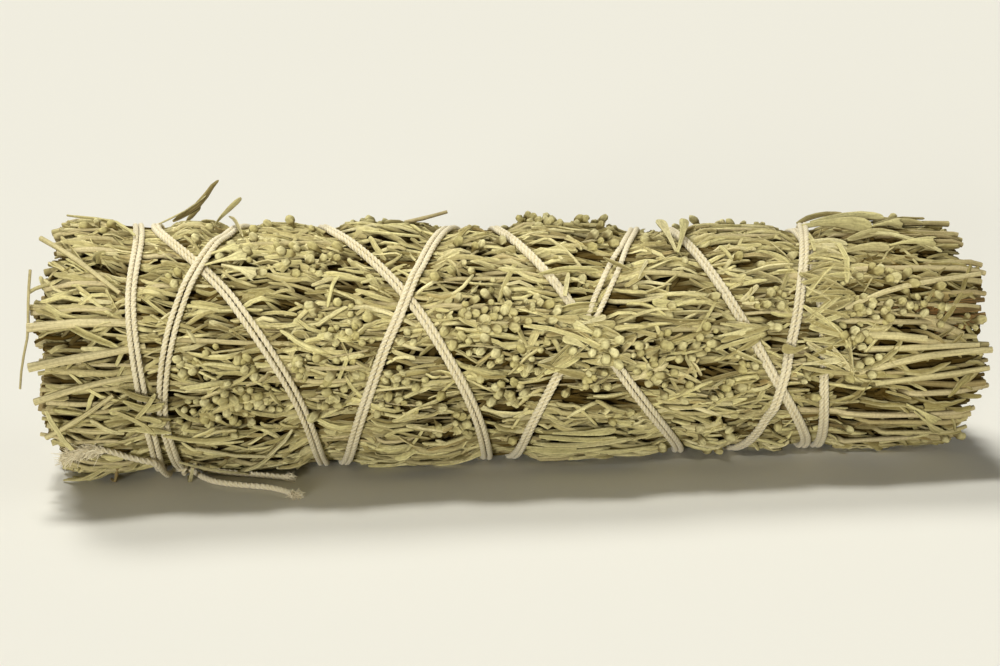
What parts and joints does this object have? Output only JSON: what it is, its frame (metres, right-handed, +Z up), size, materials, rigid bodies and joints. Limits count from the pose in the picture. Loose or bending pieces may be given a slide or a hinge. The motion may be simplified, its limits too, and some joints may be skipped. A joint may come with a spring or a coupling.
{
  "type": "desert sage smudge stick",
  "caption": "Round bundle of dried sagebrush sprigs lying down, cut flush at both ends and bound crosswise with doubled cotton twine tied in a knot.",
  "frame": {"origin": "on the surface the stick lies on, halfway along it and under its middle, at the rest mount", "axes": "+X along the stick from its wider end to its narrower end, +Z up away from the surface, -Y towards the side with the knot"},
  "size_m": [0.222, 0.0604, 0.0564],
  "materials": {
    "sage": "dry matt grey-green leaf and stem",
    "woody_sage": "dry leaf on a brown, split woody stem",
    "twine": "undyed twisted cotton"
  },
  "bodies": {
    "root": {"sprig_core": "sage", "sprig_inner_01": "sage", "sprig_inner_02": "sage", "sprig_inner_03": "sage", "sprig_inner_04": "sage", "sprig_inner_05": "sage", "sprig_inner_06": "sage", "sprig_middle_01": "sage", "sprig_middle_02": "sage", "sprig_middle_03": "sage", "sprig_middle_04": "sage", "sprig_middle_05": "sage", "sprig_middle_06": "sage", "sprig_middle_07": "sage", "sprig_middle_08": "sage", "sprig_middle_09": "sage", "sprig_middle_10": "sage", "sprig_middle_11": "sage", "sprig_middle_12": "sage", "sprig_outer_01": "sage", "sprig_outer_02": "sage", "sprig_outer_03": "sage", "sprig_woody": "woody_sage", "sprig_outer_05": "sage", "sprig_outer_06": "sage", "sprig_outer_07": "sage", "sprig_outer_08": "sage", "sprig_outer_09": "sage", "sprig_outer_10": "sage", "sprig_outer_11": "sage", "sprig_outer_12": "sage", "sprig_outer_13": "sage", "sprig_outer_14": "sage", "sprig_outer_15": "sage", "sprig_outer_16": "sage", "sprig_outer_17": "sage", "sprig_outer_18": "sage", "twine_strand_1": "twine", "twine_strand_2": "twine", "twine_knot": "twine", "twine_tail_left": "twine", "twine_tail_right_upper": "twine", "twine_tail_right_lower": "twine"}
  },
  "joints": []
}
